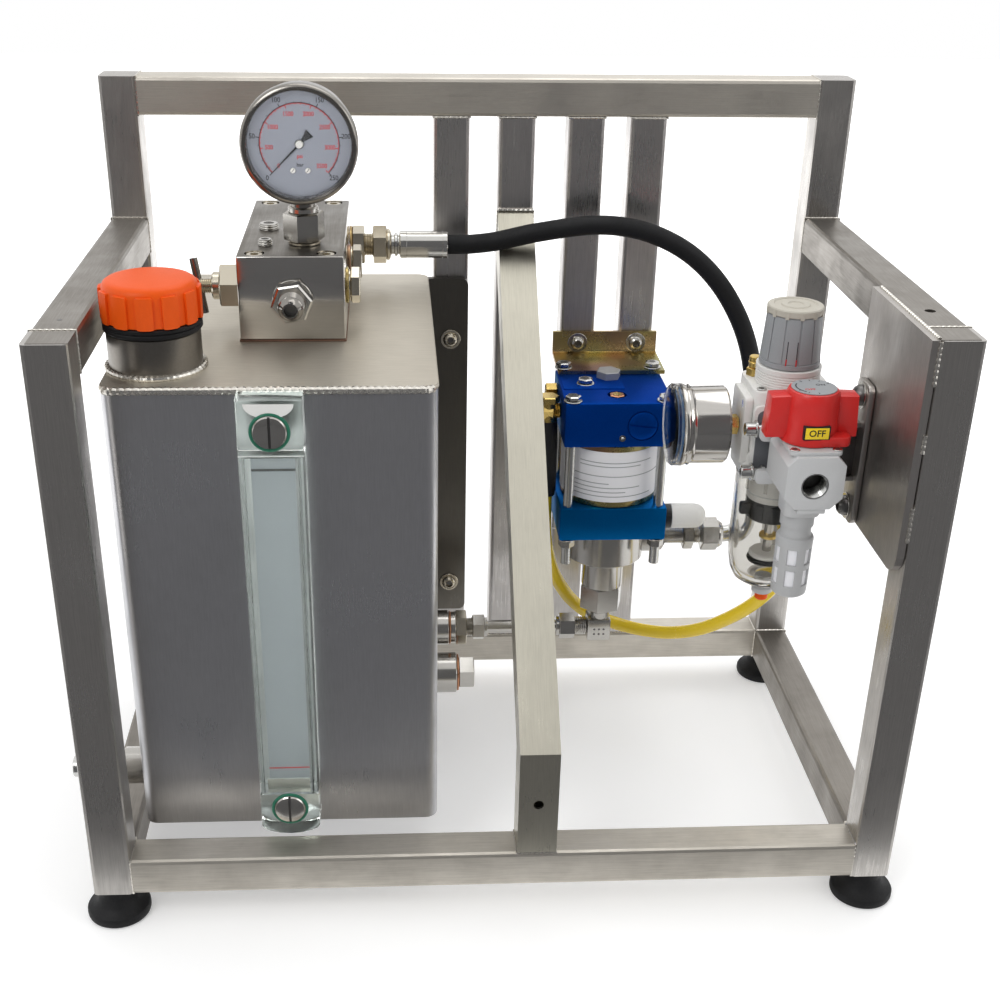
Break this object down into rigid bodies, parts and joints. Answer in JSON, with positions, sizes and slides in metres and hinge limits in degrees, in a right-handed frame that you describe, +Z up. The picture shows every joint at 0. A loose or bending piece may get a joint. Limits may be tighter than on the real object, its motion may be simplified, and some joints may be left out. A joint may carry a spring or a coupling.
{
  "type": "air-driven hydraulic pump unit",
  "caption": "Air-driven hydraulic pump on a square-tube frame with oil tank, manifold, pressure gauge, filter regulator, shut-off valve and hoses.",
  "frame": {"origin": "centre of the bounding box in x and y, on the floor plane under the levelling feet", "axes": "+X to the right as seen from the level gauge's side, +Y from the front towards the tall back posts, +Z up"},
  "size_m": [0.5346, 0.32, 0.4918],
  "materials": {
    "frame_stainless": "brushed and glass-bead blasted",
    "tank_stainless": "brushed",
    "bright_steel": "bright zinc plated",
    "yellow_zinc": "yellow zinc plated",
    "blue_aluminium": "anodised blue, satin",
    "brass": "bright",
    "black_rubber": "matt",
    "hose_rubber": "matt",
    "black_plastic": "satin",
    "white_plastic": "satin",
    "grey_plastic": "satin",
    "light_grey_plastic": "satin",
    "clear_plastic": "clear",
    "orange_plastic": "satin",
    "red_plastic": "gloss",
    "yellow_tube": "gloss"
  },
  "bodies": {
    "frame": {"post_front_left": "frame_stainless", "post_front_right": "frame_stainless", "post_back_left": "frame_stainless", "post_back_right": "frame_stainless", "rail_front_bottom": "frame_stainless", "rail_back_bottom": "frame_stainless", "rail_back_top": "frame_stainless", "rail_left_bottom": "frame_stainless", "rail_right_bottom": "frame_stainless", "rail_left_top": "frame_stainless", "rail_right_top": "frame_stainless", "upright_1": "frame_stainless", "upright_2": "frame_stainless", "upright_3": "frame_stainless", "upright_4": "frame_stainless", "divider_brace": "frame_stainless", "gusset_plate": "frame_stainless", "tank_body": "tank_stainless", "tank_lid": "tank_stainless", "level_gauge_housing": "clear_plastic", "level_gauge_scale": "white_plastic", "drain_plug": "bright_steel", "suction_line": "bright_steel", "manifold_block": "bright_steel", "gauge_adaptor": "bright_steel", "pressure_gauge_case": "bright_steel", "release_valve_body": "bright_steel", "outlet_adaptor": "bright_steel", "hose_end_manifold": "bright_steel", "hydraulic_hose": "hose_rubber", "hose_end_pump": "bright_steel", "pump_bracket": "yellow_zinc", "pump_valve_block": "blue_aluminium", "pump_air_cylinder": "white_plastic", "pump_base_block": "blue_aluminium", "pump_high_pressure_body": "frame_stainless", "pump_outlet_adaptor": "bright_steel", "exhaust_muffler": "white_plastic", "air_inlet_fitting": "black_plastic", "air_tube": "yellow_tube", "regulator_body": "light_grey_plastic", "air_gauge_case": "bright_steel", "filter_element": "white_plastic", "shutoff_valve_body": "light_grey_plastic", "regulator_bracket": "black_plastic"},
    "foot_fl": {"levelling_foot_front_left": "black_rubber"},
    "foot_fr": {"levelling_foot_front_right": "black_rubber"},
    "foot_bl": {"levelling_foot_back_left": "black_rubber"},
    "foot_br": {"levelling_foot_back_right": "black_rubber"},
    "cap_seal": {"filler_cap_seal": "black_rubber"},
    "cap": {"filler_cap": "orange_plastic"},
    "oil_needle": {"pressure_gauge_needle": "black_plastic"},
    "release_stem": {"release_valve_stem": "bright_steel"},
    "piston": {"pump_piston": "bright_steel"},
    "spool": {"pump_spool": "bright_steel"},
    "regulator_screw": {"adjusting_screw": "brass"},
    "regulator_cap": {"regulator_knob": "grey_plastic"},
    "air_needle": {"air_gauge_needle": "black_plastic"},
    "bowl": {"filter_bowl": "clear_plastic"},
    "valve_knob": {"shutoff_valve_knob": "red_plastic"}
  },
  "joints": [
    {"name": "foot_front_left_level", "type": "slide", "parent": "frame", "child": "foot_fl", "axis": [0, 0, -1], "range_m": [0, 0.01]},
    {"name": "foot_front_right_level", "type": "slide", "parent": "frame", "child": "foot_fr", "axis": [0, 0, -1], "range_m": [0, 0.01]},
    {"name": "foot_back_left_level", "type": "slide", "parent": "frame", "child": "foot_bl", "axis": [0, 0, -1], "range_m": [0, 0.01]},
    {"name": "foot_back_right_level", "type": "slide", "parent": "frame", "child": "foot_br", "axis": [0, 0, -1], "range_m": [0, 0.01]},
    {"name": "cap_lift", "type": "slide", "parent": "frame", "child": "cap_seal", "axis": [0, 0, 1], "range_m": [0, 0.0061]},
    {"name": "cap_turn", "type": "hinge", "parent": "cap_seal", "child": "cap", "pos_m": [-0.19405, -0.0728, 0.373], "axis": [0, 0, 1], "range_deg": [0, 720]},
    {"name": "oil_needle_turn", "type": "hinge", "parent": "frame", "child": "oil_needle", "pos_m": [-0.11055, -0.0108, 0.4573], "axis": [0, 1, 0], "range_deg": [0, 270], "stiffness_Nm_per_rad": 0.0005},
    {"name": "release_turn", "type": "hinge", "parent": "frame", "child": "release_stem", "pos_m": [-0.17725, 0.0005, 0.37], "axis": [-1, 0, 0], "range_deg": [0, 540]},
    {"name": "piston_stroke", "type": "slide", "parent": "frame", "child": "piston", "axis": [0, 0, -1], "range_m": [0, 0.028]},
    {"name": "spool_shift", "type": "slide", "parent": "frame", "child": "spool", "axis": [0, 1, 0], "range_m": [0, 0.009]},
    {"name": "pressure_set", "type": "hinge", "parent": "frame", "child": "regulator_screw", "pos_m": [0.18625, -0.0405, 0.306], "axis": [0, 0, -1], "range_deg": [-720, 720]},
    {"name": "knob_lock", "type": "slide", "parent": "regulator_screw", "child": "regulator_cap", "axis": [0, 0, 1], "range_m": [0, 0.003]},
    {"name": "air_needle_turn", "type": "hinge", "parent": "frame", "child": "air_needle", "pos_m": [0.11845, -0.0445, 0.294], "axis": [1, 0, 0], "range_deg": [0, 270], "stiffness_Nm_per_rad": 0.0005},
    {"name": "bowl_bayonet", "type": "hinge", "parent": "frame", "child": "bowl", "pos_m": [0.18625, -0.0405, 0.175], "axis": [0, 0, 1], "range_deg": [0, 45]},
    {"name": "valve_turn", "type": "hinge", "parent": "frame", "child": "valve_knob", "pos_m": [0.18625, -0.0965, 0.3055], "axis": [0, 0, 1], "range_deg": [0, 90]}
  ],
  "couplings": [
    {"joint": "cap_lift", "follows": "cap_turn", "m_per_rad": 0.000477}
  ]
}
